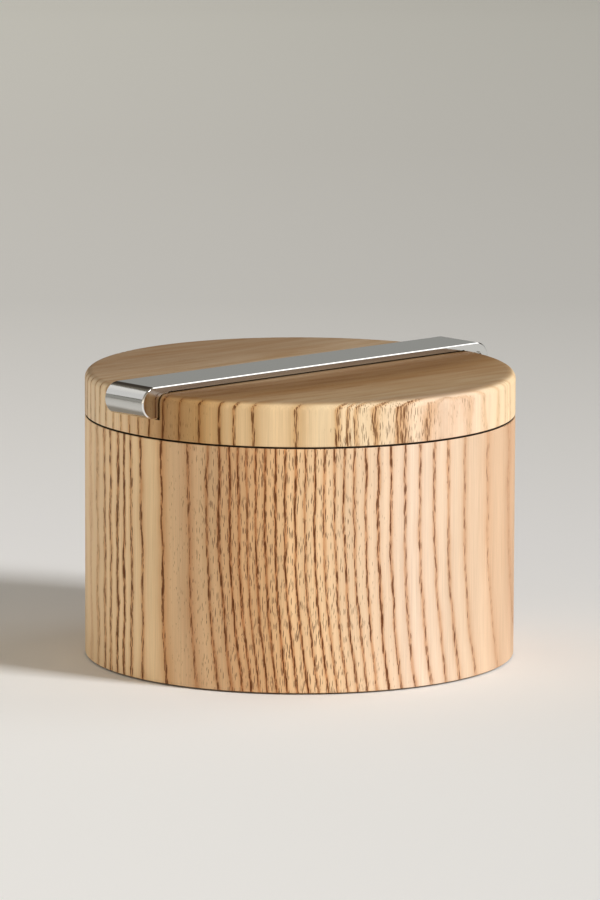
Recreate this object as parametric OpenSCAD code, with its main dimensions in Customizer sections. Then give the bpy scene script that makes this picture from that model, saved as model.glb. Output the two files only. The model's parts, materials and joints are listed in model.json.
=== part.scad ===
// Round wooden salt box with a thick wooden lid. A polished steel bar lies across the
// lid: its front nose is the finger lip and its rear nose is the hinge knuckle.
// Origin: centre of the face that the box stands on. The hinge is at the back, +Y.

/* [Box] */
// Outside diameter of the box and its lid
box_d = 114; // [104:1:140]
// Height of the wooden box without its lid
box_h = 64; // [50:1:90]
// Thickness of the side wall
wall = 8; // [7.5:0.5:11]
// Thickness of the floor
floor_t = 8; // [5:0.5:12]
// Radius of the cove between the floor and the wall
cove_r = 4; // [2:0.5:8]
// Rounding of the sharp edges of the wood
edge_round = 0.3; // [0.2:0.05:0.6]

/* [Base pad] */
// Distance from the outside of the box to the edge of the pad
pad_inset = 4; // [2:0.5:10]
// Thickness of the pad
pad_t = 1.6; // [1.2:0.1:3]
// How far the pad stands out of the wood
pad_proud = 0.4; // [0.3:0.1:1]
// Rounding of the pad's edges
pad_round = 0.2; // [0.1:0.05:0.3]

/* [Lid] */
// Thickness of the lid at its rim
lid_t = 11.5; // [10.5:0.5:16]
// Rounding of the lid's top edge
lid_round = 2.2; // [1:0.1:3]
// Depth of the plug that enters the box
plug_h = 4; // [3.5:0.5:6]
// Running gap between the plug and the wall
plug_gap = 1; // [0.8:0.1:2]
// Open seam between the box and the lid
seam_gap = 0.4; // [0.2:0.1:0.8]

/* [Seal] */
// Width of the flat ring
seal_w = 4.4; // [3:0.2:5]
// Distance from the inside of the wall to the ring
seal_inset = 1.2; // [1:0.1:2]
// Depth of the ring's groove in the lid
seal_groove = 0.8; // [0.5:0.1:1.2]

/* [Steel bar] */
// Width of the bar
bar_w = 15; // [13:0.5:20]
// Thickness of the bar
bar_t = 2; // [1.5:0.1:3]
// How far each nose reaches past the wood
bar_overhang = 5; // [4.4:0.2:6]
// Height of the noses, which is the diameter of their round ends
nose_h = 8.4; // [8.2:0.2:9.6]
// Length of the noses along the bar
nose_len = 9; // [8:0.5:10]
// Chamfer on the bar's upper edges and on the noses
top_chamfer = 0.35; // [0.2:0.05:0.6]
// Chamfer on the bar's lower edges
under_chamfer = 0.25; // [0.1:0.05:0.5]
// Gap between a nose and the sides of its notch
nose_gap = 0.4; // [0.3:0.1:1]
// Gap between a nose and the floor of its notch
nose_floor_gap = 0.3; // [0.2:0.1:1]

/* [Studs of the bar] */
// Diameter of the studs
stud_d = 4; // [3:0.5:5]
// Distance between the studs
stud_spacing = 64; // [40:1:76]
// Diameter of the flange that is welded to the bar
stud_flange_d = 5.6; // [5.4:0.2:8]
// Thickness of that flange
stud_flange_t = 0.8; // [0.5:0.1:1.2]
// Depth of the counterbore under the lid
stud_counterbore = 5.5; // [5.2:0.1:7]
// Diameter of the counterbore
counterbore_d = 12; // [11:0.5:14]
// How far a stud stops short of the underside of the plug
stud_short = 0.8; // [0.4:0.1:1.5]
// Outside diameter of the washers
washer_d = 9; // [8:0.5:10]
// Thickness of the washers
washer_t = 0.8; // [0.5:0.1:1]
// Width of the nuts across the flats
nut_af = 7; // [6.5:0.5:8]
// Height of the nuts
nut_h = 3.2; // [2.4:0.2:3.6]

/* [Hinge] */
// Diameter of the hinge pin
pin_d = 3; // [2:0.1:3.4]
// Diameter of the recess round each end of the pin
pin_recess_d = 3.8; // [3.6:0.1:5]
// Depth of that recess
pin_recess_depth = 0.8; // [0.5:0.1:1.2]
// How deep the pin's ends lie below the sides of the knuckle
pin_short = 0.4; // [0.1:0.05:0.5]
// Wall of the sleeves on the pin
bush_wall = 0.5; // [0.3:0.05:0.6]
// Thickness of the flanges of the sleeves
bush_flange_t = 0.5; // [0.3:0.1:0.8]
// Diameter of the flanges of the sleeves
bush_flange_d = 6; // [5.4:0.1:6.4]
// Steel left round the sleeves in the eye
eye_wall = 1.2; // [0.8:0.1:1.3]
// Width of the eye and of the tongue that carries it
eye_w = 6.4; // [5:0.2:8]
// Angle at which the open lid meets its stop
open_angle = 100; // [92:1:110]

/* [Hinge bracket] */
// Thickness of the plate
bracket_t = 2; // [1.8:0.1:2.5]
// Depth of the flat seat cut into the back of the box
seat_depth = 0.7; // [0.5:0.1:1.2]
// Distance from the rim down to the top of the plate
bracket_drop = 0.8; // [0.5:0.1:3]
// Rounding of the plate's corners
bracket_corner = 2; // [1:0.5:4]
// Fillet between the plate and its tongue
tongue_fillet = 1; // [0.5:0.1:1.5]
// Distance from the rim down to the upper screw
screw_drop = 7.5; // [7:0.5:10]
// Distance between the two screws
screw_pitch = 12; // [9:0.5:16]
// Distance from the lower screw to the bottom of the plate
screw_edge = 6; // [5:0.5:10]

/* [Bracket screws] */
// Diameter of the screws
screw_d = 3; // [2.5:0.1:3]
// Length of the screws with their heads
screw_l = 7; // [6:0.5:7]
// Diameter of the countersunk heads
screw_head_d = 5.8; // [5:0.1:6]
// Height of the countersunk heads
screw_head_h = 1.5; // [1.2:0.1:1.6]
// Width of the hexagon socket across its flats
socket_af = 2; // [1.5:0.1:2.2]
// Depth of the hexagon socket
socket_depth = 1; // [0.6:0.1:1.2]
// Outside diameter of the threaded inserts
insert_d = 4.8; // [4.4:0.1:5.2]
// Length of the threaded inserts
insert_l = 5.5; // [5:0.1:5.8]

/* [Clearances] */
// Radial running gap between the pin and its sleeves
pin_play = 0.05; // [0.02:0.01:0.1]
// Side gap between a sleeve's flange and the knuckle
side_play = 0.1; // [0.05:0.05:0.3]
// Gap between the eye and the inside of the knuckle
eye_gap = 0.24; // [0.2:0.02:0.3]
// Gap that the stop keeps when the lid is fully open
stop_gap = 0.05; // [0.03:0.01:0.1]
// Gap round the tongue where it passes through the lid
tongue_gap = 0.4; // [0.3:0.05:0.8]
// Radial gap of pieces that sit tight in each other
tight_gap = 0.02; // [0.01:0.01:0.04]
// Radial gap of pieces that pass loosely through a hole
loose_gap = 0.2; // [0.1:0.05:0.3]

/* [Hidden] */
$fn = 96;

// How far a cut runs past the face that it opens
over = 1;

box_r = box_d / 2;
bore_r = box_r - wall;
body_z = pad_proud;
rim_z = body_z + box_h;
floor_z = body_z + floor_t;
pad_r = box_r - pad_inset;

lid_z = rim_z + seam_gap;
lid_top_z = lid_z + lid_t;
plug_r = bore_r - plug_gap;
plug_z = lid_z - plug_h;
seal_r = bore_r + seal_inset;

bar_top_z = lid_top_z + bar_t;
bar_end = box_r + bar_overhang;
nose_r = nose_h / 2;
nose_z = bar_top_z - nose_h;
nose_inner = bar_end - nose_len;
notch_z = nose_z - nose_floor_gap;
notch_w = bar_w + 2 * nose_gap;

pin_r = pin_d / 2;
pin_y = bar_end - nose_r;
pin_z = bar_top_z - nose_r;
bush_r = pin_r + pin_play + bush_wall;
eye_r = bush_r + tight_gap + eye_wall;
knuckle_slot_w = eye_w + 2 * (bush_flange_t + side_play);

// The plate is cut from stock as wide as the bar
bracket_w = bar_w;
seat_y = box_r - seat_depth;
setback = pin_y - seat_y;
plate_top_z = rim_z - bracket_drop;
upper_screw_z = rim_z - screw_drop;
lower_screw_z = upper_screw_z - screw_pitch;
plate_z = lower_screw_z - screw_edge;

stud_r = stud_d / 2;
counterbore_z = plug_z + stud_counterbore;
washer_z = counterbore_z - washer_t;
nut_z = washer_z - nut_h;

// Outline of half a turned disc with round edges, as radius and height
module disc_outline(r_out, z_low, z_high, low_round, high_round) {
    translate([0, z_low + low_round]) square([r_out, z_high - z_low - low_round - high_round]);
    translate([0, z_low]) square([r_out - low_round, low_round]);
    translate([0, z_high - high_round]) square([r_out - high_round, high_round]);
    translate([r_out - low_round, z_low + low_round]) circle(low_round);
    translate([r_out - high_round, z_high - high_round]) circle(high_round);
}

// Rectangle in width and height whose long edges are chamfered
module bar_section(height, low_chamfer) {
    half = bar_w / 2;
    polygon([
        [-half + low_chamfer, 0],
        [half - low_chamfer, 0],
        [half, low_chamfer],
        [half, height - top_chamfer],
        [half - top_chamfer, height],
        [-half + top_chamfer, height],
        [-half, height - top_chamfer],
        [-half, low_chamfer]
    ]);
}

// Sweeps a section in X and Z along Y, from one place to another
module along_y(y_from, y_to) {
    translate([0, y_to, 0]) rotate([90, 0, 0]) linear_extrude(height = y_to - y_from) children();
}

// Turns a shape that stands along Z so that it lies along X, centred on the hinge axis
module on_hinge_axis() {
    translate([0, pin_y, pin_z]) rotate([0, 90, 0]) children();
}

// Places a copy at each stud of the bar
module at_studs() {
    for (side = [-1, 1]) translate([0, side * stud_spacing / 2, 0]) children();
}

// Places a copy at each bracket screw, with Z pointing out of the back of the box
module at_screws() {
    for (z = [upper_screw_z, lower_screw_z]) translate([0, seat_y, z]) rotate([-90, 0, 0]) children();
}

// Turned box: straight wall, coved bore, recess for the pad and seat for the bracket
module body() {
    color("burlywood") difference() {
        rotate_extrude() difference() {
            disc_outline(box_r, body_z, rim_z, edge_round, edge_round);
            disc_outline(bore_r, floor_z, rim_z + over, cove_r, edge_round);
            square([pad_r + tight_gap, pad_t]);
        }
        translate([-bracket_w / 2 - tight_gap, seat_y, plate_z - tight_gap])
            cube([bracket_w + 2 * tight_gap, seat_depth + over, rim_z - plate_z + over]);
        at_screws() translate([0, 0, -insert_l - tight_gap])
            cylinder(h = insert_l + over, r = insert_d / 2 + tight_gap);
    }
}

// Soft disc that the box stands on
module base_pad() {
    color("dimgray") rotate_extrude()
        disc_outline(pad_r, 0, pad_t, pad_round, pad_round);
}

// Notch in the lid's rim for a nose of the bar, at the back
module nose_notch() {
    translate([-notch_w / 2, nose_inner - nose_gap, notch_z])
        cube([notch_w, nose_len + over, lid_top_z - notch_z + over]);
}

// Hole for a stud: a seat for its flange above, a counterbore for nut and washer below
module stud_hole() {
    translate([0, 0, plug_z - over]) {
        cylinder(h = plug_h + lid_t + 2 * over, r = stud_r + loose_gap);
        cylinder(h = stud_counterbore + over, r = counterbore_d / 2);
    }
    translate([0, 0, lid_top_z - stud_flange_t - loose_gap])
        cylinder(h = stud_flange_t + loose_gap + over, r = stud_flange_d / 2 + loose_gap);
}

// Turned lid with its plug, the groove of the seal and the notches of the bar
module lid() {
    color("tan") difference() {
        rotate_extrude() difference() {
            union() {
                disc_outline(box_r, lid_z, lid_top_z, edge_round, lid_round);
                disc_outline(plug_r, plug_z, lid_z + over, edge_round, edge_round);
            }
            translate([seal_r - loose_gap, lid_z - over])
                square([seal_w + 2 * loose_gap, seal_groove + over]);
        }
        nose_notch();
        mirror([0, 1, 0]) nose_notch();
        translate([-eye_w / 2 - tongue_gap, seat_y - tongue_gap, lid_z - over])
            cube([eye_w + 2 * tongue_gap, seat_depth + tongue_gap + over, notch_z - lid_z + 2 * over]);
        at_studs() stud_hole();
    }
}

// Flat ring in the lid that closes the seam on the rim of the box
module lid_seal() {
    color("black") rotate_extrude()
        translate([seal_r, rim_z]) square([seal_w, seam_gap + seal_groove]);
}

// Nose of the bar at the back: a block with a half-round outer end
module bar_nose() {
    along_y(nose_inner, pin_y) translate([0, nose_z]) bar_section(nose_h, top_chamfer);
    intersection() {
        on_hinge_axis() rotate_extrude() polygon([
            [0, -bar_w / 2],
            [nose_r - top_chamfer, -bar_w / 2],
            [nose_r, -bar_w / 2 + top_chamfer],
            [nose_r, bar_w / 2 - top_chamfer],
            [nose_r - top_chamfer, bar_w / 2],
            [0, bar_w / 2]
        ]);
        translate([-bar_w, pin_y - nose_r / 2, nose_z - over])
            cube([2 * bar_w, 2 * nose_r, nose_h + 2 * over]);
    }
}

// Slot of the hinge knuckle in Y and Z from the hinge axis. Its sloping roof is the stop.
module knuckle_slot_outline() {
    reach = nose_r + over;
    slope = open_angle - 90;
    roof = (setback + stop_gap) / cos(slope);
    inner = -setback - tongue_gap;
    circle(eye_r + eye_gap);
    polygon([
        [inner, -reach],
        [reach, -reach],
        [reach, roof + reach * tan(slope)],
        [0, roof],
        [inner, 0]
    ]);
}

// Steel bar with a nose at each end: finger lip at the front, hinge knuckle at the back
module handle_bar() {
    color("silver") difference() {
        union() {
            along_y(-pin_y, pin_y) translate([0, lid_top_z]) bar_section(bar_t, under_chamfer);
            bar_nose();
            mirror([0, 1, 0]) bar_nose();
        }
        translate([0, pin_y, pin_z]) rotate([90, 0, 90])
            linear_extrude(height = knuckle_slot_w, center = true) knuckle_slot_outline();
        on_hinge_axis() cylinder(h = bar_w + 2 * over, r = pin_r + tight_gap, center = true);
        for (side = [-1, 1]) on_hinge_axis() translate([0, 0, side * (bar_w + over - pin_recess_depth) / 2])
            cylinder(h = pin_recess_depth + over, r = pin_recess_d / 2, center = true);
    }
}

// Threaded studs under the bar, each with the flange that is welded to it
module bar_studs() {
    color("gainsboro") at_studs() {
        translate([0, 0, lid_top_z - stud_flange_t]) cylinder(h = stud_flange_t, r = stud_flange_d / 2);
        translate([0, 0, plug_z + stud_short]) cylinder(h = lid_top_z - plug_z - stud_short, r = stud_r);
    }
}

// Washers under the lid
module stud_washers() {
    color("silver") at_studs() translate([0, 0, washer_z]) difference() {
        cylinder(h = washer_t, r = washer_d / 2);
        translate([0, 0, -over]) cylinder(h = washer_t + 2 * over, r = stud_r + loose_gap);
    }
}

// Hexagon nuts under the washers
module stud_nuts() {
    color("silver") at_studs() translate([0, 0, nut_z]) difference() {
        cylinder(h = nut_h, r = nut_af / 2 / cos(30), $fn = 6);
        translate([0, 0, -over]) cylinder(h = nut_h + 2 * over, r = stud_r + tight_gap);
    }
}

// Outline of the bracket in X and Z: a plate with a narrow tongue above it
module bracket_outline() {
    half = bracket_w / 2;
    shoulder = eye_w / 2 + tongue_fillet;
    for (side = [-1, 1], z = [plate_z + bracket_corner, plate_top_z - bracket_corner])
        translate([side * (half - bracket_corner), z]) circle(bracket_corner);
    translate([-half + bracket_corner, plate_z])
        square([bracket_w - 2 * bracket_corner, plate_top_z - plate_z]);
    translate([-half, plate_z + bracket_corner])
        square([bracket_w, plate_top_z - plate_z - 2 * bracket_corner]);
    translate([-eye_w / 2, plate_z + bracket_corner]) square([eye_w, pin_z - plate_z - bracket_corner]);
    difference() {
        translate([-shoulder, plate_top_z - tongue_fillet]) square([2 * shoulder, 2 * tongue_fillet]);
        for (side = [-1, 1])
            translate([side * shoulder, plate_top_z + tongue_fillet]) circle(tongue_fillet);
    }
}

// Steel bracket on the back of the box, with the eye that turns in the knuckle
module hinge_bracket() {
    color("silver") difference() {
        union() {
            along_y(seat_y, seat_y + bracket_t) bracket_outline();
            on_hinge_axis() cylinder(h = eye_w, r = eye_r, center = true);
        }
        on_hinge_axis() cylinder(h = eye_w + 2 * over, r = bush_r + tight_gap, center = true);
        at_screws() {
            translate([0, 0, -over]) cylinder(h = bracket_t + 2 * over, r = screw_d / 2 + loose_gap);
            translate([0, 0, bracket_t - screw_head_h]) countersink(tight_gap);
        }
    }
}

// Cone of a countersunk head, widened by a gap, with its large end up
module countersink(gap) {
    cylinder(h = screw_head_h, r1 = screw_d / 2 + gap, r2 = screw_head_d / 2 + gap);
}

// Pin held tight in the two cheeks of the knuckle
module hinge_pin() {
    color("gainsboro") on_hinge_axis() cylinder(h = bar_w - 2 * pin_short, r = pin_r, center = true);
}

// Flanged sleeve pressed into one side of the eye, along Z from the middle of the hinge
module hinge_bush() {
    difference() {
        union() {
            translate([0, 0, side_play]) cylinder(h = eye_w / 2 - side_play, r = bush_r);
            translate([0, 0, eye_w / 2]) cylinder(h = bush_flange_t, r = bush_flange_d / 2);
        }
        translate([0, 0, -over]) cylinder(h = eye_w + 2 * over, r = pin_r + pin_play);
    }
}

// Sleeve on the left, seen from the front
module hinge_bush_left() {
    color("ivory") on_hinge_axis() mirror([0, 0, 1]) hinge_bush();
}

// Sleeve on the right, seen from the front
module hinge_bush_right() {
    color("ivory") on_hinge_axis() hinge_bush();
}

// Countersunk screws with a hexagon socket
module bracket_screws() {
    color("gainsboro") at_screws() difference() {
        union() {
            translate([0, 0, bracket_t - screw_l]) cylinder(h = screw_l - screw_head_h, r = screw_d / 2);
            translate([0, 0, bracket_t - screw_head_h]) countersink(0);
        }
        translate([0, 0, bracket_t - socket_depth])
            cylinder(h = socket_depth + over, r = socket_af / 2 / cos(30), $fn = 6);
    }
}

// Threaded brass sleeves in the wall of the box
module bracket_inserts() {
    color("goldenrod") at_screws() translate([0, 0, -insert_l]) difference() {
        cylinder(h = insert_l, r = insert_d / 2);
        translate([0, 0, -over]) cylinder(h = insert_l + 2 * over, r = screw_d / 2 + tight_gap);
    }
}

body();
base_pad();
lid();
lid_seal();
handle_bar();
bar_studs();
stud_washers();
stud_nuts();
hinge_bracket();
hinge_pin();
hinge_bush_left();
hinge_bush_right();
bracket_screws();
bracket_inserts();
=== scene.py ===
# %% [markdown]
# # A wooden salt box with a hinged lid
#
# The real object is a turned wooden box, 114 mm across, with a thick wooden lid. A flat bar
# of polished steel lies across the lid. Its front nose is the lip for a finger, and its rear
# nose is the knuckle of the hinge.
#
# The CAD model already holds every piece at its real size and place. This script dresses it:
# the wood gets its rings and pores, the bar gets softened edges and a polish, and the small
# hidden pieces get finishes of their own. Everything is in metres, in the CAD's own frame.

# %% Load the frame
import json
import math

import bmesh
import bpy
from mathutils import Matrix, Vector


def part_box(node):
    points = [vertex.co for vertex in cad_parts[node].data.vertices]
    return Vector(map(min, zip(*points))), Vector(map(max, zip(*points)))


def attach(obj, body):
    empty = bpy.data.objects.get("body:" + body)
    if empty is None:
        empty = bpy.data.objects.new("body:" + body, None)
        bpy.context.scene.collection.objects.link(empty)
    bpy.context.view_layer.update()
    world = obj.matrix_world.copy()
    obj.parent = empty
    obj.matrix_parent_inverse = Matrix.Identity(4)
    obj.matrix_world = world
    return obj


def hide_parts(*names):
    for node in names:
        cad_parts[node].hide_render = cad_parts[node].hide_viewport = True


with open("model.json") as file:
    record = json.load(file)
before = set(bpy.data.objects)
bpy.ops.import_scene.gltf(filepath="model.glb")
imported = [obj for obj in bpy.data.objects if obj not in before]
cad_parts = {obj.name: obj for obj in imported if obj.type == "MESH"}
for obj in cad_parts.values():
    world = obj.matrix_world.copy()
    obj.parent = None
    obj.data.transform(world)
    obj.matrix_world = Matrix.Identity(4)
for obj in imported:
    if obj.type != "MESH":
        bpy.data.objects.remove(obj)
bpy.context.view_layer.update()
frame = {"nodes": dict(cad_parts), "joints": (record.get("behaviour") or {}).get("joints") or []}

MM = 0.001
nodes = frame["nodes"]
scene = bpy.context.scene
scene.view_settings.view_transform = "Standard"

# %% [markdown]
# ## The camera
#
# The photograph was taken with a long lens, from the right of the finger lip and a little
# above the lid. The lens and the place were worked out from the ellipses of the rim and the
# seam, which give the tilt, and from how little the box narrows towards its base, which
# gives the distance. A camera can be turned with a Track To constraint. Here its angles are
# known, so they are written down and multiplied: first the roll in the picture, then the
# tilt, then the turn round the box.

# %% Place the camera
CAMERA_AZIMUTH = math.radians(47.45)
CAMERA_PITCH = math.radians(9.668)
CAMERA_ROLL = math.radians(0.199)
CAMERA_DISTANCE = 1.750
CAMERA_HEIGHT = 0.3526
LENS_MM = 267.8
SENSOR_MM = 36
VIEW_DEPTH = 30

camera_data = bpy.data.cameras.new("photo_camera")
camera_data.sensor_width = SENSOR_MM
camera_data.lens = LENS_MM
camera_data.clip_end = VIEW_DEPTH
camera = bpy.data.objects.new("photo_camera", camera_data)
scene.collection.objects.link(camera)
camera_turn = (
    Matrix.Rotation(CAMERA_AZIMUTH, 4, "Z")
    @ Matrix.Rotation(math.pi / 2 - CAMERA_PITCH, 4, "X")
    @ Matrix.Rotation(CAMERA_ROLL, 4, "Z")
)
camera_place = Vector((
    CAMERA_DISTANCE * math.sin(CAMERA_AZIMUTH),
    -CAMERA_DISTANCE * math.cos(CAMERA_AZIMUTH),
    CAMERA_HEIGHT,
))
camera.matrix_world = Matrix.Translation(camera_place) @ camera_turn
scene.camera = camera
print("camera at", [round(v, 3) for v in camera_place])

# %% [markdown]
# ## A bench for shader nodes
#
# Every finish below is a small network of nodes. Wiring them by hand takes a line for each
# link, which hides the idea. The bench is a helper that adds a node, fills its inputs with
# numbers or with the outputs of earlier nodes, and hands back the new node.

# %% Make the bench
class Bench:
    """Adds nodes to one tree and wires them as it goes."""

    def __init__(self, tree):
        self.tree = tree

    def node(self, kind, inputs=None, **settings):
        """A new node, with its settings and with its inputs filled by name or number."""
        made = self.tree.nodes.new("ShaderNode" + kind)
        for name, value in settings.items():
            setattr(made, name, value)
        for key, value in (inputs or {}).items():
            self.fill(made.inputs[key], value)
        return made

    def fill(self, socket, value):
        """Puts a link or a plain value into a socket."""
        if isinstance(value, bpy.types.NodeSocket):
            self.tree.links.new(value, socket)
        else:
            socket.default_value = value

    def math(self, operation, *values):
        """The result of one sum on numbers."""
        return self.node("Math", dict(enumerate(values)), operation=operation).outputs[0]

    def vector(self, operation, *values):
        """The result of one sum on vectors."""
        return self.node("VectorMath", dict(enumerate(values)), operation=operation).outputs[0]

    def axis(self, vector, number):
        """One of the three numbers of a vector: 0 is X, 1 is Y and 2 is Z."""
        return self.node("SeparateXYZ", {0: vector}).outputs[number]

    def along(self, place, direction):
        """How far a place lies along a direction."""
        made = self.node("VectorMath", {0: place, 1: direction}, operation="DOT_PRODUCT")
        return made.outputs["Value"]

    def scaled(self, colour, factor):
        """A colour made brighter or darker by a factor."""
        made = self.node("VectorMath", {0: colour, "Scale": factor}, operation="SCALE")
        return made.outputs[0]

    def blend(self, factor, first, second, mode="MIX"):
        """Two colours mixed by a factor."""
        made = self.node("Mix", data_type="RGBA", blend_type=mode)
        for socket, value in ((0, factor), (6, first), (7, second)):
            self.fill(made.inputs[socket], value)
        return made.outputs[2]

    def between(self, value, low, high):
        """A value from 0 to 1, stretched to run from low to high."""
        return self.math("MULTIPLY_ADD", value, high - low, low)

    def ease(self, value, low, high, to_low=0.0, to_high=1.0):
        """A smooth step: to_low below low, to_high above high."""
        inputs = {
            "Value": value,
            "From Min": low,
            "From Max": high,
            "To Min": to_low,
            "To Max": to_high,
        }
        return self.node("MapRange", inputs, interpolation_type="SMOOTHSTEP").outputs[0]

    def noise(self, place, detail=2.0, roughness=0.5):
        """Soft noise from 0 to 1, with bumps one unit apart."""
        inputs = {"Vector": place, "Scale": 1.0, "Detail": detail, "Roughness": roughness}
        return self.node("TexNoise", inputs).outputs[0]

    def stretched(self, place, sizes):
        """The place counted in steps of these sizes along its three axes."""
        return self.vector("DIVIDE", place, sizes)

    def ramp(self, value, stops):
        """A colour that changes with a value, through stops of (place, colour)."""
        made = self.node("ValToRGB", {"Fac": value})
        elements = made.color_ramp.elements
        while len(elements) < len(stops):
            elements.new(0.5)
        for element, (at, colour) in zip(elements, stops):
            element.position = at
            element.color = (*colour, 1)
        return made.outputs[0]

    def curve(self, value, points):
        """A smooth curve through given points. Each point is what comes in and what goes out."""
        made = self.node("FloatCurve", {"Value": value})
        line = made.mapping.curves[0]
        while len(line.points) < len(points):
            line.points.new(0.5, 0.5)
        for point, place in zip(line.points, points):
            point.location = place
        made.mapping.update()
        return made.outputs[0]


print("bench ready")

# %% [markdown]
# An effect that several materials share is a node group, and each material keeps a shader
# of its own. These helpers make a group, make a material, wire an effect to its shader, and
# put a finish on pieces of the CAD model.

# %% Make groups and materials
def shared_group(name, inputs, outputs):
    """An empty node group with named sockets, its bench, and its two ends."""
    tree = bpy.data.node_groups.new(name, "ShaderNodeTree")
    for direction, sockets in (("INPUT", inputs), ("OUTPUT", outputs)):
        for label, kind in sockets.items():
            tree.interface.new_socket(label, in_out=direction, socket_type="NodeSocket" + kind)
    start = tree.nodes.new("NodeGroupInput")
    end = tree.nodes.new("NodeGroupOutput")
    return tree, Bench(tree), start.outputs, end.inputs


def new_material(name):
    """A material with its bench, its surface shader, and places in mm on the piece itself."""
    material = bpy.data.materials.new(name)
    material.use_nodes = True
    bench = Bench(material.node_tree)
    shader = material.node_tree.nodes["Principled BSDF"]
    on_piece = bench.node("TexCoord")
    place = bench.vector("MULTIPLY", on_piece.outputs["Object"], (1 / MM,) * 3)
    return material, bench, shader, place, on_piece.outputs["Normal"]


def wire_surface(bench, shader, colour, effect, dent, strength=0.5):
    """Wires a colour, and an effect's roughness and height, to a shader. The dent is in mm."""
    relief = {"Height": effect.outputs["Height"], "Strength": strength, "Distance": dent * MM}
    bench.fill(shader.inputs["Base Color"], colour)
    bench.fill(shader.inputs["Roughness"], effect.outputs["Roughness"])
    bench.fill(shader.inputs["Normal"], bench.node("Bump", relief).outputs[0])


def greys(levels):
    """Grey stops for a ramp that stands for a plain number."""
    return [(at, (level,) * 3) for at, level in levels]


def put_on(material, *names):
    """Puts a material on every slot of the named CAD nodes."""
    for name in names:
        for slot in nodes[name].material_slots:
            slot.link = "OBJECT"
            slot.material = material


print("CAD pieces to dress:", len(nodes))

# %% [markdown]
# ## Open-pored wood
#
# The box and the lid are turned from a ring-porous wood such as ash or oak. Each year starts
# with a row of wide pores, which show on a side face as short dark dashes along the grain,
# and ends in dense wood without them. On the end grain the same pores are dots.
#
# A wood texture could be a set of stretched waves painted on the surface. That looks right
# from one side only. Here the wood is a block: every effect is a solid texture in the
# block's own axes, and the turned shape cuts through it. X runs across the rings, Y along
# them, and Z up the grain, so side grain and end grain come out by themselves.

# %% Set the sizes of the grain
# In mm: across the rings, along them, and up the grain
PORE_SIZE = (0.40, 0.40, 4.4)
FINE_PORE_SIZE = (0.31, 0.31, 3.8)
SNAKE_SIZE = (0.9, 0.9, 1.6)
FIBRE_SIZE = (0.26, 0.26, 20.0)
CLOUD_SIZE = (6.0, 8.0, 80.0)
END_BAND_SIZE = (2.6, 26.0, 60.0)

# In mm: how far a pore is shoved aside, and where the porous row fades before and after the
# start of its ring
SNAKE = 0.28
ROW_BEFORE = (0.10, 0.34)
ROW_AFTER = (0.22, 0.78)

# Shares, each from its least to its most
YEAR_VIGOUR = (0.76, 1.11)
FIBRE_SHADE = (0.76, 1.26)
CLOUD_SHADE = (0.83, 1.17)
FIBRE_ROUGHNESS = (0.44, 0.60)
PORE_DEPTH = (0.40, 0.96)

print("large pores in a square centimetre of row:", round(100 / (PORE_SIZE[0] * PORE_SIZE[1])))

# %% [markdown]
# The porous row at the start of each ring is as wide in a wide ring as in a narrow one, so
# it is measured in mm. Good years have stronger rows than bad ones.

# %% Start the wood group with its rows
wood_tree, b, given, result = shared_group(
    "ring_porous_wood",
    {
        "Place": "Vector",
        "Rings": "Float",
        "Rings per mm": "Float",
        "Normal": "Vector",
        "Crowding": "Float",
        "Strength": "Float",
        "Pale": "Color",
        "Late": "Color",
        "Pore": "Color",
        "End grain": "Color",
    },
    {"Color": "Color", "Roughness": "Float", "Height": "Float"},
)
place = given["Place"]
in_ring = b.math("FRACT", given["Rings"])
ring_number = b.math("FLOOR", given["Rings"])
year = b.node("TexWhiteNoise", {"W": ring_number}, noise_dimensions="1D").outputs[0]
vigour = b.math("MULTIPLY", b.between(year, *YEAR_VIGOUR), given["Strength"])

since = b.math("DIVIDE", in_ring, given["Rings per mm"])
until = b.math("DIVIDE", b.math("SUBTRACT", 1.0, in_ring), given["Rings per mm"])
row_before = b.ease(until, *ROW_BEFORE, 1.0, 0.0)
row_after = b.ease(since, *ROW_AFTER, 1.0, 0.0)
row = b.math("MULTIPLY", b.math("MAXIMUM", row_before, row_after), vigour)
print("nodes in the wood so far:", len(wood_tree.nodes))

# %% [markdown]
# The pores are cells of a 3-D Voronoi texture, drawn out along the grain and snaking a little
# as they run up it. A cell is open round its middle, and reaches far inside a row and nowhere
# outside it. A second, finer set of pores also fills the parts where rings are crowded.

# %% Find the pores
PORE_REACH = (-0.02, 0.54)
FINE_REACH_IN_ROW = 0.46
FINE_REACH_CROWDED = 0.35
FINE_DEPTH = 0.85
PORE_EDGE = (-0.12, 0.06)


def pore_mask(bench, place, size, reach, most):
    """How far a place is inside a pore, from cells of one size in mm."""
    cell = bench.node("TexVoronoi", {"Vector": bench.stretched(place, size), "Scale": 1.0})
    outside = bench.math("SUBTRACT", cell.outputs["Distance"], reach)
    return bench.ease(outside, *PORE_EDGE, most, 0.0)


snake = b.noise(b.stretched(place, SNAKE_SIZE), detail=1.0)
shove = b.math("MULTIPLY", b.math("SUBTRACT", snake, 0.5), SNAKE)
snaked = b.vector("ADD", place, b.node("CombineXYZ", {0: shove, 1: shove}).outputs[0])
large = pore_mask(b, snaked, PORE_SIZE, b.between(row, *PORE_REACH), 1.0)
fine_in_row = b.math("MULTIPLY", row, FINE_REACH_IN_ROW)
fine_crowded = b.math("MULTIPLY", given["Crowding"], FINE_REACH_CROWDED)
fine_reach = b.math("MAXIMUM", fine_crowded, fine_in_row)
fine = pore_mask(b, snaked, FINE_PORE_SIZE, fine_reach, FINE_DEPTH)
pores = b.math("MAXIMUM", large, fine)
print("nodes in the wood so far:", len(wood_tree.nodes))

# %% [markdown]
# A side face shows pale wood, darker wood where one ring ends and the next begins, fibres,
# and the pores. The wood right round the pores is stained a reddish brown. End grain drinks
# more oil and is darker. Its cut pores are too small to see, so only soft bands are left.

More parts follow.
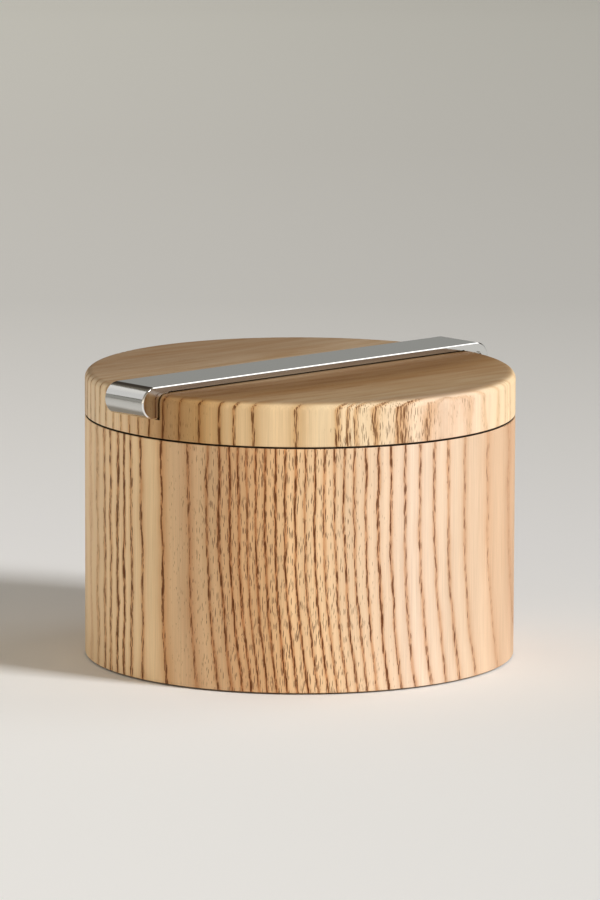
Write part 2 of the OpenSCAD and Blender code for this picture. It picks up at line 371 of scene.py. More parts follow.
# %% Colour side grain and end grain
LATE_WOOD = [(0.00, 1.00), (0.10, 0.85), (0.30, 0.22), (0.55, 0.00), (0.82, 0.30), (1.00, 1.00)]
ROW_STAIN = (0.80, 0.58, 0.42, 1)
ROW_STAIN_SHARE = 0.5
END_BANDS = (0.22, 0.82)
END_PORES = 0.10
END_FACING = (0.62, 0.98)
END_ROUGHNESS = 0.10
PORE_ROUGHNESS = 0.20
FIBRE_HEIGHT = 0.35

fibre = b.noise(b.stretched(place, FIBRE_SIZE), detail=4.0, roughness=0.65)
cloud = b.noise(b.stretched(place, CLOUD_SIZE), detail=3.0)
shade = b.math("MULTIPLY", b.between(fibre, *FIBRE_SHADE), b.between(cloud, *CLOUD_SHADE))
late = b.math("MULTIPLY", b.ramp(in_ring, greys(LATE_WOOD)), vigour)
late_wood = b.blend(1.0, given["Pale"], given["Late"], "MULTIPLY")
side = b.blend(late, given["Pale"], late_wood)
stained = b.blend(1.0, side, ROW_STAIN, "MULTIPLY")
side = b.blend(b.math("MULTIPLY", row, ROW_STAIN_SHARE), side, stained)
depth = b.math("MULTIPLY", pores, b.between(given["Strength"], *PORE_DEPTH))
side = b.blend(depth, b.scaled(side, shade), given["Pore"])

bands = b.noise(b.stretched(place, END_BAND_SIZE), detail=3.0, roughness=0.6)
end = b.blend(b.ease(bands, *END_BANDS), given["Pale"], late_wood)
end = b.blend(b.math("MULTIPLY", pores, END_PORES), end, given["Pore"])
end = b.blend(1.0, end, given["End grain"], "MULTIPLY")
upright = b.math("ABSOLUTE", b.axis(given["Normal"], 2))
facing = b.ease(upright, *END_FACING)

dull = b.math("MULTIPLY_ADD", facing, END_ROUGHNESS, b.between(fibre, *FIBRE_ROUGHNESS))
b.fill(result["Color"], b.blend(facing, side, end))
b.fill(result["Roughness"], b.math("MULTIPLY_ADD", pores, PORE_ROUGHNESS, dull))
b.fill(result["Height"], b.math("SUBTRACT", b.math("MULTIPLY", fibre, FIBRE_HEIGHT), pores))
print("wood group:", len(wood_tree.nodes), "nodes")

# %% [markdown]
# ## The rings of the two blocks
#
# Rings aren't evenly spaced. The tree grew fast in some years and slowly in others, and that
# is what makes one block of wood recognisable. A Float Curve stands for the tree's growth: it
# turns the distance across the block into a count of years. Where the curve is steep the
# rings are narrow. The rings are also a little curved, because they went round a trunk, and
# they wander by about a millimetre.

# %% Count the rings across a block
BOX_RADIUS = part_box("body")[1].x / MM
TRUNK_RADIUS = 190.0
CURL = 0.5 / TRUNK_RADIUS
FEWEST_RINGS_PER_MM = 0.05

# The size in mm of each kind of bump in the rings, and how far in mm it moves them
WANDERS = [
    ((20.0, 20.0, 50.0), 1.0),
    ((6.0, 6.0, 15.0), 1.3),
    ((1.0, 1.0, 2.2), 0.34),
]


def ring_place(bench, place, turn):
    """Places in the block's own axes, and the distance across its rings on the outside."""
    turned = bench.node("VectorRotate", {"Vector": place, "Angle": -turn}, rotation_type="Z_AXIS")
    block = turned.outputs[0]
    flat = bench.vector("MULTIPLY", block, (1, 1, 0))
    bend = bench.math("MULTIPLY_ADD", bench.along(flat, flat), CURL, -BOX_RADIUS**2 * CURL)
    distance = bench.math("ADD", bench.axis(block, 0), bend)
    for size, amount in WANDERS:
        wander = bench.math("SUBTRACT", bench.noise(bench.stretched(block, size)), 0.5)
        distance = bench.math("MULTIPLY_ADD", wander, amount, distance)
    return block, distance


def block_ends(growth):
    """Where a block starts and how wide it is, in mm."""
    return growth[0][0], growth[-1][0] - growth[0][0]


def block_share(bench, distance, growth):
    """The distance across the block as a share from 0 to 1."""
    first, width = block_ends(growth)
    return bench.math("MULTIPLY_ADD", distance, 1 / width, -first / width)


def ring_count(bench, distance, growth):
    """Years counted across the block, from points of (distance in mm, year)."""
    first, width = block_ends(growth)
    first_year = growth[0][1]
    years = growth[-1][1] - first_year
    points = [((at - first) / width, (when - first_year) / years) for at, when in growth]
    count = bench.curve(block_share(bench, distance, growth), points)
    return bench.math("MULTIPLY_ADD", count, years, first_year)


def rings_per_mm(bench, distance, growth):
    """How many rings there are in the millimetre round this place."""
    ahead = ring_count(bench, bench.math("ADD", distance, 0.5), growth)
    before = ring_count(bench, bench.math("SUBTRACT", distance, 0.5), growth)
    return bench.math("MAXIMUM", bench.math("SUBTRACT", ahead, before), FEWEST_RINGS_PER_MM)


def across_block(bench, distance, growth, zones):
    """A colour for each zone of the block, from stops of (distance in mm, colour)."""
    first, width = block_ends(growth)
    stops = [((at - first) / width, colour) for at, colour in zones]
    return bench.ramp(block_share(bench, distance, growth), stops)


print("a ring bends by", round(BOX_RADIUS**2 * CURL, 1), "mm between the box's middle and side")

# %% [markdown]
# In the box the rings lean to one side towards its foot, except at its left edge. The thin
# gap between box and lid lies in shade, and that shade is painted. It could be a black
# ring laid in the gap. A dark colour painted on the wood outside the seal was chosen,
# because it parts with the lid when the box is opened.

# %% Lean the rings and paint shade into the seam
# In mm: the height under which the rings lean, how far they lean 1 mm further down, and the
# places across the block between which the lean sets in
LEAN_START = 0.75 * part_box("body")[1].z / MM
LEAN = 0.0015
LEAN_EDGE = (-48.0, -14.0)

# In mm: the gap, the height of its middle, and the places between which the painted shade
# fades out, up and down from that middle and inwards along the rim
SEAM_GAP = 0.4
SEAM_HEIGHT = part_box("body")[1].z / MM + SEAM_GAP / 2
SEAM_EDGE = (SEAM_GAP / 2 + 0.01, SEAM_GAP / 2 + 0.05)
SEAL_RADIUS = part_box("lid_seal")[1].x / MM
SEAM_SHADE_START = (SEAL_RADIUS + 0.3, SEAL_RADIUS + 1.1)
# The colour of the painted shade in the seam gap
SEAM_SHADE_COLOUR = (0.045, 0.028, 0.018, 1)


def leaned(bench, place, distance):
    """The distance across the rings, which lean to one side towards the foot of the box."""
    below = bench.math("SUBTRACT", LEAN_START, bench.axis(place, 2))
    below = bench.math("MAXIMUM", below, 0.0)
    shift = bench.math("MULTIPLY", bench.math("POWER", below, 2.0), LEAN)
    shift = bench.math("MULTIPLY", shift, bench.ease(distance, *LEAN_EDGE))
    return bench.math("SUBTRACT", distance, shift)


def seam_shade_mask(bench, place):
    """One in the thin gap between box and lid, outside the seal, where shade is painted."""
    off = bench.math("ABSOLUTE", bench.math("SUBTRACT", bench.axis(place, 2), SEAM_HEIGHT))
    in_gap = bench.ease(off, *SEAM_EDGE, 1.0, 0.0)
    flat = bench.vector("MULTIPLY", place, (1, 1, 0))
    radius = bench.node("VectorMath", {0: flat}, operation="LENGTH").outputs["Value"]
    return bench.math("MULTIPLY", in_gap, bench.ease(radius, *SEAM_SHADE_START))


print("seam", round(SEAM_HEIGHT, 2), "mm up, stained outside", round(SEAM_SHADE_START[0], 1), "mm")

# %% [markdown]
# A block of wood is now a turn, a growth curve, and what changes across it: its colour, how
# crowded the fine pores are, and how strong the rows. These distances run across the block,
# in mm from its middle.

# %% Make wood from a block
WOOD_DENT = 0.12
WOOD_DENT_STRENGTH = 0.8
WOOD_SPECULAR = 0.22
QUIET_STRENGTH = 0.45


def wood_material(
    name, turn, growth, zones, crowding, strength, colours, lean=False, quiet_side=None
):
    """Wood cut from one block. On a quiet side, in mm along the rings, the pores die away."""
    material, bench, shader, place, normal = new_material(name)
    block, distance = ring_place(bench, place, turn)
    if lean:
        distance = leaned(bench, place, distance)
    crowd = across_block(bench, distance, growth, greys(crowding))
    strong = across_block(bench, distance, growth, greys(strength))
    if quiet_side:
        along = bench.axis(block, 1)
        crowd = bench.math("MULTIPLY", crowd, bench.ease(along, *quiet_side, 1.0, 0.0))
        calm = bench.ease(along, *quiet_side, 1.0, QUIET_STRENGTH)
        strong = bench.math("MULTIPLY", strong, calm)
    inputs = {
        "Place": block,
        "Rings": ring_count(bench, distance, growth),
        "Rings per mm": rings_per_mm(bench, distance, growth),
        "Normal": normal,
        "Crowding": crowd,
        "Strength": strong,
        "Pale": across_block(bench, distance, growth, zones),
    }
    inputs.update({label: (*colour, 1) for label, colour in colours.items()})
    wood = bench.node("Group", inputs, node_tree=wood_tree)
    # Painted shade: the seam gap is darkened in the wood's own colour
    colour = bench.blend(seam_shade_mask(bench, place), wood.outputs["Color"], SEAM_SHADE_COLOUR)
    wire_surface(bench, shader, colour, wood, WOOD_DENT, WOOD_DENT_STRENGTH)
    shader.inputs["Specular IOR Level"].default_value = WOOD_SPECULAR
    return material


print("quiet wood keeps", QUIET_STRENGTH, "of its rows")

# %% [markdown]
# The real box is pale with wide rings on its left, brown and crowded in its middle, and
# greyer on its right. The lid has a brown band beside its middle and narrow rings at its
# right edge, and its pores are strong on the front half only. The box's rings run away from
# the camera, and the lid's run along the bar.

# %% Dress the box and the lid
# The distance across the block in mm, and the year that starts there
BOX_GROWTH = [
    (-57.0, -3.0), (-51.3, 0.0), (-43.9, 4.0), (-41.3, 5.0), (-28.9, 7.0), (-24.0, 8.0),
    (-9.2, 14.0), (1.4, 18.0), (20.0, 25.0), (34.7, 29.0), (42.6, 31.0), (48.9, 32.0),
    (57.0, 33.4),
]
LID_GROWTH = [
    (-57.0, -14.0), (-30.0, -7.0), (-3.8, 0.0), (4.1, 2.0), (14.1, 4.0), (24.7, 6.0),
    (32.6, 8.0), (41.1, 9.0), (47.7, 10.0), (50.2, 12.0), (54.8, 14.0), (57.2, 15.6),
]
RING_TURN_BOX = CAMERA_AZIMUTH
RING_TURN_LID = 0.0

box_wood = wood_material(
    "box_wood", RING_TURN_BOX, BOX_GROWTH, lean=True,
    zones=[
        (-57.0, (0.86, 0.635, 0.39)), (-37.0, (0.86, 0.635, 0.38)),
        (-31.0, (0.70, 0.47, 0.275)), (-24.0, (0.72, 0.49, 0.285)),
        (-18.0, (0.69, 0.425, 0.225)), (-9.0, (0.72, 0.455, 0.24)),
        (-3.0, (0.85, 0.58, 0.335)), (5.0, (0.82, 0.58, 0.355)),
        (14.0, (0.79, 0.58, 0.39)), (28.0, (0.78, 0.61, 0.475)),
        (42.0, (0.73, 0.55, 0.395)), (57.0, (0.63, 0.41, 0.25)),
    ],
    crowding=[
        (-37.0, 0.0), (-33.0, 0.45), (-28.0, 0.55), (-23.0, 0.85),
        (-2.0, 1.0), (12.0, 0.75), (24.0, 0.25), (38.0, 0.0),
    ],
    strength=[
        (-57.0, 0.3), (-50.0, 0.95), (-36.0, 1.0), (-31.0, 0.75), (-20.0, 1.0),
        (12.0, 1.0), (30.0, 0.95), (40.0, 0.75), (50.0, 0.5),
    ],
    colours={
        "Late": (0.76, 0.575, 0.44),
        "Pore": (0.12, 0.032, 0.005),
        "End grain": (0.52, 0.49, 0.46),
    },
)
lid_wood = wood_material(
    "lid_wood", RING_TURN_LID, LID_GROWTH, quiet_side=(-11.0, -3.0),
    zones=[
        (-57.0, (0.66, 0.48, 0.30)), (-35.0, (0.70, 0.52, 0.33)),
        (-27.0, (0.84, 0.66, 0.45)), (-16.0, (0.85, 0.66, 0.43)),
        (-5.0, (0.79, 0.58, 0.36)), (2.0, (0.68, 0.46, 0.25)),
        (8.0, (0.49, 0.29, 0.13)), (15.0, (0.48, 0.285, 0.12)),
        (21.0, (0.60, 0.37, 0.16)), (29.0, (0.77, 0.55, 0.31)),
        (45.0, (0.83, 0.64, 0.40)), (53.0, (0.82, 0.64, 0.43)),
        (57.0, (0.77, 0.58, 0.43)),
    ],
    crowding=[
        (-2.0, 0.0), (5.0, 0.5), (19.0, 0.5), (26.0, 0.1),
        (46.0, 0.15), (48.0, 0.9), (57.0, 0.9),
    ],
    strength=[(-20.0, 0.8), (2.0, 1.0), (24.0, 1.0), (36.0, 0.85), (57.0, 0.9)],
    colours={
        "Late": (0.78, 0.64, 0.48),
        "Pore": (0.13, 0.042, 0.006),
        "End grain": (0.56, 0.53, 0.52),
    },
)
put_on(box_wood, "body")
put_on(lid_wood, "lid")
print("rings in the box:", BOX_GROWTH[-1][1] - BOX_GROWTH[0][1])

# %% [markdown]
# ## Metal that was drawn, brushed or turned
#
# The bar is polished along its length, the bracket is brushed up and down, and the pin, nuts
# and screws are turned. All are bare metal with very fine lines in one direction. The lines
# are one shared group: noise squeezed across the lines and drawn out along them, which moves
# the roughness a little and dents the surface by a hair. Each metal passes in the size of
# its own lines.

# %% Build the metal lines
SMUDGE_SIZE = (14.0, 14.0, 14.0)
LINE_TONE = (0.95, 1.05)
LINE_SHARE = 0.7
SMUDGE_SHARE = 0.5

lines_tree, b, given, result = shared_group(
    "fine_lines",
    {"Place": "Vector", "Line size": "Vector", "Smooth": "Float", "Spread": "Float"},
    {"Tone": "Float", "Roughness": "Float", "Height": "Float"},
)
lines = b.noise(b.stretched(given["Place"], given["Line size"]), detail=3.0, roughness=0.6)
smudge = b.noise(b.stretched(given["Place"], SMUDGE_SIZE), detail=3.0)
uneven = b.math("MULTIPLY_ADD", lines, LINE_SHARE, b.math("MULTIPLY", smudge, SMUDGE_SHARE))
spread = b.math("MULTIPLY", uneven, given["Spread"])
b.fill(result["Tone"], b.between(lines, *LINE_TONE))
b.fill(result["Roughness"], b.math("ADD", given["Smooth"], spread))
b.fill(result["Height"], lines)
print("metal lines:", len(lines_tree.nodes), "nodes")

# %% [markdown]
# The bar's narrow chamfer gets a painted highlight: its colour is brighter than its faces'.
# A place knows that it is on the chamfer by how far its surface leans to the side, so no
# second material is needed there.

# %% Make the metals
CHAMFER_LEAN = (0.3, 0.6)
SIDE_LEAN = (0.8, 0.95)


def metal_material(name, colour, line_size, smooth, spread, dent, painted_highlight_colour=None):
    """Bare metal with fine lines. The size of the lines and their dent are in mm. A painted
    highlight colour, if given, goes on the chamfer.
    """
    material, bench, shader, place, normal = new_material(name)
    inputs = {"Place": place, "Line size": line_size, "Smooth": smooth, "Spread": spread}
    fine = bench.node("Group", inputs, node_tree=lines_tree)
    if painted_highlight_colour:
        lean = bench.math("ABSOLUTE", bench.axis(normal, 0))
        off_face = bench.ease(lean, *CHAMFER_LEAN)
        off_side = bench.ease(lean, *SIDE_LEAN, 1.0, 0.0)
        on_chamfer = bench.math("MULTIPLY", off_face, off_side)
        # Painted highlight on the chamfer
        colour = bench.blend(on_chamfer, (*colour, 1), (*painted_highlight_colour, 1))
    toned = bench.scaled(colour, fine.outputs["Tone"])
    wire_surface(bench, shader, toned, fine, dent)
    shader.inputs["Metallic"].default_value = 1.0
    return material


bar_steel = metal_material(
    "bar_steel", (0.62, 0.62, 0.605), line_size=(0.09, 9.0, 0.09),
    smooth=0.04, spread=0.04, dent=0.001, painted_highlight_colour=(0.90, 0.90, 0.89),
)
bracket_steel = metal_material(
    "bracket_steel", (0.58, 0.58, 0.56), line_size=(0.12, 0.12, 5.0),
    smooth=0.22, spread=0.16, dent=0.004,
)
fastener_steel = metal_material(
    "fastener_steel", (0.55, 0.55, 0.53), line_size=(0.5, 0.5, 0.08),
    smooth=0.20, spread=0.14, dent=0.003,
)
insert_brass = metal_material(
    "insert_brass", (0.70, 0.50, 0.22), line_size=(0.4, 0.08, 0.4),
    smooth=0.24, spread=0.14, dent=0.003,
)
# Painted shade for the groove under the bar, near black
groove_shade_paint = metal_material(
    "groove_shade_paint", (0.045, 0.04, 0.036), line_size=(0.4, 2.0, 0.4),
    smooth=0.50, spread=0.30, dent=0.004,
)
put_on(bracket_steel, "hinge_bracket")
put_on(fastener_steel, "bar_studs", "stud_washers", "stud_nuts", "hinge_pin", "bracket_screws")
put_on(insert_brass, "bracket_inserts")
print("materials so far:", [material.name for material in bpy.data.materials])

# %% [markdown]
# ## Rubber and plastic
#
# The pad under the box and the seal in the lid are black rubber, and the sleeves on the pin
# are pale nylon. Moulded parts like these are never perfectly even: the skin has a fine
# speckle, and the gloss comes and goes over a few millimetres. Both share one group.

# %% Build the moulded finishes
PATCH_SIZE = (11.0, 11.0, 11.0)
PATCH_ROUGHNESS = 0.16
SPECKLE_TONE = (0.75, 1.25)

skin_tree, b, given, result = shared_group(
    "moulded_skin",
    {"Place": "Vector", "Grain": "Float", "Dull": "Float"},
    {"Tone": "Float", "Roughness": "Float", "Height": "Float"},
)
speckle = b.noise(b.scaled(given["Place"], given["Grain"]), detail=4.0)
patch = b.noise(b.stretched(given["Place"], PATCH_SIZE), detail=2.0)
b.fill(result["Tone"], b.between(speckle, *SPECKLE_TONE))
b.fill(result["Roughness"], b.math("MULTIPLY_ADD", patch, PATCH_ROUGHNESS, given["Dull"]))
b.fill(result["Height"], speckle)


def moulded_material(name, colour, grain, dull, dent):
    """Rubber or plastic. The grain is speckles in a mm, and the dent is their depth in mm."""
    material, bench, shader, place, _ = new_material(name)
    inputs = {"Place": place, "Grain": grain, "Dull": dull}
    skin = bench.node("Group", inputs, node_tree=skin_tree)
    toned = bench.scaled(colour, skin.outputs["Tone"])
    wire_surface(bench, shader, toned, skin, dent)
    return material


pad_rubber = moulded_material(
    "pad_rubber", (0.035, 0.035, 0.035), grain=3.0, dull=0.62, dent=0.03
)
seal_rubber = moulded_material(
    "seal_rubber", (0.020, 0.020, 0.020), grain=4.0, dull=0.60, dent=0.02
)
bush_plastic = moulded_material(
    "bush_plastic", (0.72, 0.69, 0.58), grain=2.5, dull=0.42, dent=0.01
)
put_on(pad_rubber, "base_pad")
put_on(seal_rubber, "lid_seal")
put_on(bush_plastic, "hinge_bush_left", "hinge_bush_right")
print("moulded skin:", len(skin_tree.nodes), "nodes")

# %% [markdown]
# ## The steel bar
#
# On the real box this is one piece of flat steel with a thick nose at each end. Its edges are
# broken by a narrow chamfer, which shows a bright line, partly real and partly a painted
# highlight, and a thin dark line lies under it, where its lower edge is cut back, partly real
# shade and partly painted shade. The CAD solid has neither in full, so the bar is modelled
# again as a mesh.
#
# It could be a cube with loop cuts. Here it is drawn as the maker would cut it. First comes
# the side view as one closed outline, with a half circle round the hinge axis at the back
# and its mirror image at the front.

# %% Draw the bar's outline
lid_hinge = frame["joints"][0]
hinge_y, hinge_z = lid_hinge["pos_m"][1:]
bar_low, bar_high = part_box("handle_bar")
lid_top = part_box("lid")[1].z
BAR_WIDTH = bar_high.x - bar_low.x
NOSE_RADIUS = (bar_high.z - bar_low.z) / 2
NOSE_LENGTH = 9.0 * MM
NOSE_INNER = bar_high.y - NOSE_LENGTH
ARC_STEPS = 28


def arc(centre, radius, start, end, steps):
    """Points on an arc in Y and Z, from one angle in degrees to another."""
    angles = [math.radians(start + (end - start) * i / steps) for i in range(steps + 1)]
    return [(centre[0] + radius * math.cos(a), centre[1] + radius * math.sin(a)) for a in angles]


nose_at_back = arc((hinge_y, hinge_z), NOSE_RADIUS, 90, -90, ARC_STEPS)
nose_at_front = [(-y, z) for y, z in reversed(nose_at_back)]
inner_side = [
    (NOSE_INNER, bar_low.z),
    (NOSE_INNER, lid_top),
    (-NOSE_INNER, lid_top),
    (-NOSE_INNER, bar_low.z),
]
outline = nose_at_back + inner_side + nose_at_front
print("outline points:", len(outline))

# %% [markdown]
# The outline is then given its width, and the edges of both side faces are bevelled. One
# bevel of one step makes the flat chamfer that the polisher left. A second, very small one
# takes the sharpness off the chamfer's own edges, so that they catch a thin line of light.

# %% Give it width and break its edges
CHAMFER = 0.30 * MM
CHAMFER_SOFTENING = 0.05 * MM
SAME_PLACE = 1e-6


def extruded(outline_points, width, name):
    """A closed solid: an outline in Y and Z, centred on X."""
    bm = bmesh.new()
    face = bm.faces.new([bm.verts.new((-width / 2, y, z)) for y, z in outline_points])
    grown = bmesh.ops.extrude_face_region(bm, geom=[face])
    moved = [v for v in grown["geom"] if isinstance(v, bmesh.types.BMVert)]
    bmesh.ops.translate(bm, verts=moved, vec=(width, 0, 0))
    bmesh.ops.recalc_face_normals(bm, faces=bm.faces)
    mesh = bpy.data.meshes.new(name)
    bm.to_mesh(mesh)
    bm.free()
    made = bpy.data.objects.new(name, mesh)
    scene.collection.objects.link(made)
    return made


def bevel_edges(piece, wanted, offset, segments):
    """Bevels the edges that a test picks out, and counts them."""
    bm = bmesh.new()
    bm.from_mesh(piece.data)
    bm.normal_update()
    picked = [edge for edge in bm.edges if wanted(edge)]
    bmesh.ops.bevel(
        bm, geom=picked, offset=offset, segments=segments,
        profile=0.5, affect="EDGES", clamp_overlap=True,
    )
    bm.to_mesh(piece.data)
    bm.free()
    return len(picked)


def runs_lengthwise(edge):
    """True for an edge that doesn't cross the bar's width."""
    first, second = (v.co.x for v in edge.verts)
    return abs(first - second) < SAME_PLACE


def in_side_face(edge):
    """True for an edge that lies in one of the two side faces."""
    return runs_lengthwise(edge) and abs(edge.verts[0].co.x) > BAR_WIDTH / 2 - CHAMFER / 2


def beside_chamfer(edge):
    """True for the long edges on both sides of the chamfer."""
    return runs_lengthwise(edge) and abs(edge.verts[0].co.x) > BAR_WIDTH / 2 - 1.5 * CHAMFER


bar = extruded(outline, BAR_WIDTH, "polished_bar")
print("rim edges:", bevel_edges(bar, in_side_face, CHAMFER, 1))
print("chamfer edges:", bevel_edges(bar, beside_chamfer, CHAMFER_SOFTENING, 2))

# %% [markdown]
# The knuckle is milled from the nose at the back. It could be cut point by point into the
# mesh. Booleans were chosen, because each of them is one cut of the mill, and a changed pin
# or bracket only changes its size. Every size comes from the piece that sits in the cut.

# %% Get ready to cut
EYE_GAP = 0.24 * MM
TONGUE_GAP = 0.4 * MM
STOP_GAP = 0.05 * MM
SLEEVE_SIDE_GAP = 0.1 * MM
PIN_FIT = 0.02 * MM
SEAT_DEPTH = 0.7 * MM
ROD_SIDES = 64

eye_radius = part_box("hinge_bracket")[1].y - hinge_y
pin_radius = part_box("hinge_pin")[1].z - hinge_z
sleeves_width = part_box("hinge_bush_right")[1].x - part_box("hinge_bush_left")[0].x
slot_width = sleeves_width + 2 * SLEEVE_SIDE_GAP
print("eye radius", round(eye_radius / MM, 2), "slot width", round(slot_width / MM, 2))


def cut(piece, cutter):
    """Cuts one mesh out of another for good, and throws the cutter away."""
    step = piece.modifiers.new("cut", "BOOLEAN")
    step.object = cutter
    step.solver = "EXACT"
    with bpy.context.temp_override(object=piece, active_object=piece):
        bpy.ops.object.modifier_apply(modifier=step.name)
    bpy.data.objects.remove(cutter)


def moved_aside(piece, distance):
    """The same piece, moved along X."""
    piece.data.transform(Matrix.Translation((distance, 0, 0)))
    return piece


def rod(radius, x_from, x_to, name):
    """A round bar along the hinge axis."""
    points = arc((hinge_y, hinge_z), radius, 0, 360 - 360 / ROD_SIDES, ROD_SIDES - 1)
    return moved_aside(extruded(points, x_to - x_from, name), (x_from + x_to) / 2)


# %% [markdown]
# The eye of the bracket turns in the slot, and the pin fills the bore. The roof of the slot
# is the stop that the bracket meets when the lid is open, so its slope is the lid's travel
# past upright.

# %% Cut the knuckle
setback = hinge_y - (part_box("body")[1].y - SEAT_DEPTH)
slope = math.radians(lid_hinge["range_deg"][1] - 90)
reach = NOSE_RADIUS + 1 * MM
roof = (setback + STOP_GAP) / math.cos(slope)
inner = -setback - TONGUE_GAP
slot_points = [
    (inner, -reach),
    (reach, -reach),
    (reach, roof + reach * math.tan(slope)),
    (0, roof),
    (inner, 0),
]
slot_outline = [(hinge_y + y, hinge_z + z) for y, z in slot_points]
cut(bar, extruded(slot_outline, slot_width, "slot_cutter"))
cut(bar, rod(eye_radius + EYE_GAP, -slot_width / 2, slot_width / 2, "eye_cutter"))
cut(bar, rod(pin_radius + PIN_FIT, -BAR_WIDTH, BAR_WIDTH, "bore_cutter"))
print("bar faces with the knuckle cut:", len(bar.data.polygons))

# %% [markdown]
# Two pairs of cuts are left: a recess round each end of the pin, and the narrow groove under
# each long edge of the bar, which is the dark line seen between bar and lid.

# %% Cut the recesses and the grooves
RECESS_RADIUS = 1.9 * MM
RECESS_DEPTH = 0.8 * MM
GROOVE_HEIGHT = 0.46 * MM
GROOVE_DEPTH = 2.6 * MM
BELOW_BAR = 1 * MM

for side in (-1, 1):
    ends = sorted((side * (BAR_WIDTH / 2 - RECESS_DEPTH), side * BAR_WIDTH))
    cut(bar, rod(RECESS_RADIUS, *ends, "recess_cutter"))

groove_low = lid_top - BELOW_BAR
groove_high = lid_top + GROOVE_HEIGHT
groove_outline = [
    (-NOSE_INNER, groove_low),
    (NOSE_INNER, groove_low),
    (NOSE_INNER, groove_high),
    (-NOSE_INNER, groove_high),
]
for side in (-1, 1):
    groove = extruded(groove_outline, 2 * GROOVE_DEPTH, "groove_cutter")
    cut(bar, moved_aside(groove, side * BAR_WIDTH / 2))
print("bar faces after the cuts:", len(bar.data.polygons))

# %% [markdown]
# The faces of the groove get a second, near-black material: painted shade, which darkens
# the line between bar and lid beyond the shade that the groove itself casts.
#
# The noses are round and the bar is flat. Smooth shading with weighted normals suits both:
# each flat face keeps its own direction, and only the small faces between them bend.

# %% Smooth the round faces and dress the bar
SHARP_ANGLE = math.radians(28)
HAIR = 0.01 * MM


def in_groove(centre):
    """True for a face inside the groove between bar and lid."""
    at_its_height = lid_top - 10 * HAIR < centre.z < groove_high + HAIR
    between_noses = abs(centre.y) < NOSE_INNER - HAIR
    inside_bar = abs(centre.x) < BAR_WIDTH / 2 - HAIR
    return at_its_height and between_noses and inside_bar


bar.data.materials.append(bar_steel)
# The second material is painted shade in the groove
bar.data.materials.append(groove_shade_paint)
for polygon in bar.data.polygons:
    polygon.use_smooth = True
    polygon.material_index = 1 if in_groove(polygon.center) else 0
print("groove faces:", sum(polygon.material_index for polygon in bar.data.polygons))
bar.data.set_sharp_from_angle(angle=SHARP_ANGLE)
flat_faces_win = bar.modifiers.new("flat_faces_win", "WEIGHTED_NORMAL")
flat_faces_win.weight = 100
flat_faces_win.keep_sharp = True
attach(bar, "lid")
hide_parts("handle_bar")

# %% [markdown]
# ## The floor
#
# The photograph has a pale seamless floor that grows greyer behind the box. A wall would
# stand in the way of the other views, so there is only one wide floor, and its colour
# changes with the distance behind the box, counted along the camera's line of sight. It
# also gets a little darker from left to right. Both changes are painted shade: they stand
# for the light that falls off behind the box and towards the right.

# %% Lay the floor
# In metres, apart from the levels from left to right and the finish
FLOOR_SIZE = 9.0
GRADIENT_LENGTH = 2.0
GRADIENT_START = 0.2
FALLING_ZONE = (-0.25, 0.25)
FALLING_LEVEL = (1.12, 0.87)
FLOOR_ROUGHNESS = 0.9
FLOOR_SPECULAR = 0.1
BACKWARD = Vector((-math.sin(CAMERA_AZIMUTH), math.cos(CAMERA_AZIMUTH), 0))
RIGHTWARD = Vector((math.cos(CAMERA_AZIMUTH), math.sin(CAMERA_AZIMUTH), 0))

floor_mesh = bpy.data.meshes.new("floor")
half = FLOOR_SIZE / 2
corners = [(-half, -half, 0), (half, -half, 0), (half, half, 0), (-half, half, 0)]
floor_mesh.from_pydata(corners, [], [(0, 1, 2, 3)])
floor = bpy.data.objects.new("floor", floor_mesh)
scene.collection.objects.link(floor)

floor_paper, b, shader, _, _ = new_material("floor_paper")
spot = b.node("TexCoord").outputs["Object"]
behind = b.along(spot, BACKWARD)
# Painted shade: the floor greys with the distance behind the box
paper = b.ramp(b.math("MULTIPLY_ADD", behind, 1 / GRADIENT_LENGTH, GRADIENT_START), [
    (0.06, (0.91, 0.91, 0.91)),
    (0.20, (0.90, 0.905, 0.905)),
    (0.28, (0.85, 0.85, 0.86)),
    (0.36, (0.80, 0.80, 0.80)),
    (0.52, (0.70, 0.70, 0.69)),
    (0.74, (0.75, 0.75, 0.73)),
    (1.00, (0.86, 0.87, 0.84)),
])
# Painted shade: the floor gets darker towards the right
painted_falloff = b.ease(b.along(spot, RIGHTWARD), *FALLING_ZONE, *FALLING_LEVEL)
b.fill(shader.inputs["Base Color"], b.scaled(paper, painted_falloff))
shader.inputs["Roughness"].default_value = FLOOR_ROUGHNESS
shader.inputs["Specular IOR Level"].default_value = FLOOR_SPECULAR
floor.data.materials.append(floor_paper)
print("floor:", FLOOR_SIZE, "m wide")

# %% [markdown]
# ## The room
#
# A polished bar shows what stands round it, so the room is part of the bar's look. It could
# be modelled wall by wall. A sky that changes with direction does the same and hides
# nothing. It is warm, and brighter in front of the box than behind it, with a dark band
# behind and a ceiling that is a little brighter than the walls. A low, bright window at the
# left front lights the round wall from the side.

# %% Light the room
FRONT_ZONE = (-0.25, 0.55)
WINDOW_AZIMUTH = CAMERA_AZIMUTH - math.radians(60)
WINDOW = Vector((math.sin(WINDOW_AZIMUTH), -math.cos(WINDOW_AZIMUTH), 0))
WINDOW_SIDES = (0.80, 0.97)
WINDOW_TOP = (0.10, 0.24)
WINDOW_GLOW = (1.20, 1.16, 1.03, 1)
BLACK = (0, 0, 0, 1)

# Like both walls below: how far the direction points up, from 0 to 1, and the colour there
CEILING = [
    (0.88, (0.18, 0.16, 0.125)),
    (0.96, (0.28, 0.26, 0.22)),
    (1.00, (0.30, 0.28, 0.24)),
]

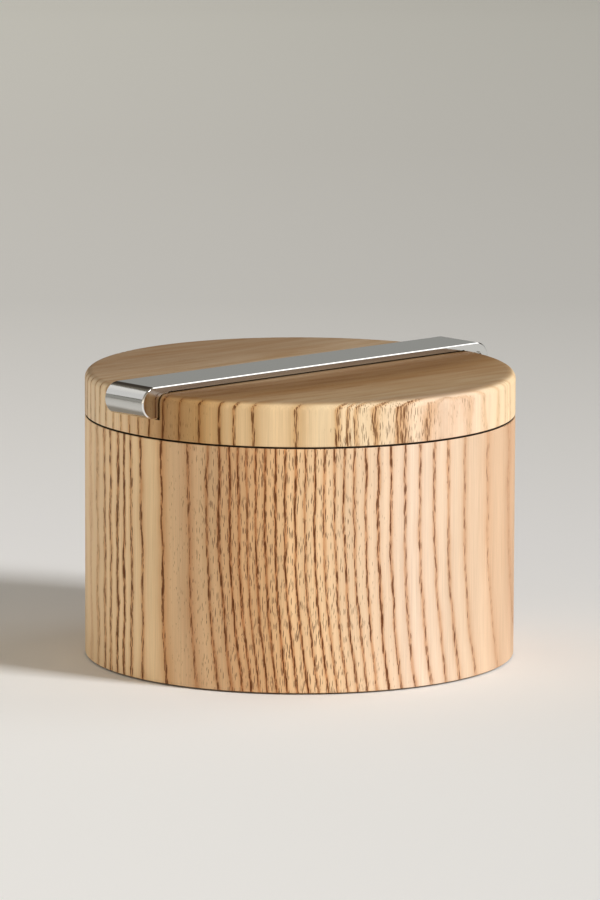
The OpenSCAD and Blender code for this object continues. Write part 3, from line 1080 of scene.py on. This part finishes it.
world = bpy.data.worlds.new("room")
scene.world = world
world.use_nodes = True
b = Bench(world.node_tree)
direction = b.node("TexCoord").outputs["Generated"]
upward = b.axis(direction, 2)
rear_wall = b.ramp(upward, [
    (0.00, (0.30, 0.30, 0.28)),
    (0.12, (0.34, 0.34, 0.32)),
    (0.21, (0.34, 0.34, 0.32)),
    (0.26, (0.06, 0.05, 0.04)),
    (0.56, (0.06, 0.05, 0.04)),
    (0.66, (0.20, 0.178, 0.14)),
    *CEILING,
])
front_wall = b.ramp(upward, [
    (0.00, (1.00, 0.90, 0.74)),
    (0.22, (0.96, 0.86, 0.70)),
    (0.42, (0.38, 0.33, 0.26)),
    *CEILING,
])
in_front = b.ease(b.along(direction, -BACKWARD), *FRONT_ZONE)
room = b.blend(in_front, rear_wall, front_wall)
between_sides = b.ease(b.along(direction, WINDOW), *WINDOW_SIDES)
below_top = b.ease(upward, *WINDOW_TOP, 1.0, 0.0)
window = b.blend(b.math("MULTIPLY", between_sides, below_top), BLACK, WINDOW_GLOW)
background = world.node_tree.nodes["Background"]
b.fill(background.inputs["Color"], b.vector("ADD", room, window))
print("room:", len(world.node_tree.nodes), "nodes")

# %% [markdown]
# ## The lamps
#
# One lamp from the right does most of the work and throws the shadow. It is far away and
# wide, so its shadow has a soft edge. Two weak cards lighten the shaded sides, and the
# polished steel mirrors them: a wide one on the left in the round noses, and one on the
# right in the chamfer.

# %% Hang the lamps
# Turn from the camera and height, both in degrees, distance and size in metres, and level
LAMPS = [
    ("key_lamp", 62.3, 34, 3.0, (0.65, 0.65), 0.84),
    ("left_card", -120, 28, 2.6, (2.1, 1.55), 0.125),
    ("edge_card", 118, 46, 2.6, (1.1, 1.1), 0.085),
]


def area_lamp(name, turn, height, distance, size, level):
    """A lamp aimed at the box. A level of 1 lights a white face that faces it fully."""
    data = bpy.data.lights.new(name, "AREA")
    data.shape = "RECTANGLE"
    data.size, data.size_y = size
    data.energy = level * math.pi**2 * distance**2
    lamp = bpy.data.objects.new(name, data)
    azimuth = CAMERA_AZIMUTH + math.radians(turn)
    elevation = math.radians(height)
    towards = Vector((
        math.sin(azimuth) * math.cos(elevation),
        -math.cos(azimuth) * math.cos(elevation),
        math.sin(elevation),
    ))
    lamp.location = towards * distance
    lamp.rotation_euler = towards.to_track_quat("Z", "Y").to_euler()
    scene.collection.objects.link(lamp)
    return data.energy


for lamp_row in LAMPS:
    print(lamp_row[0], "watts:", round(area_lamp(*lamp_row), 1))
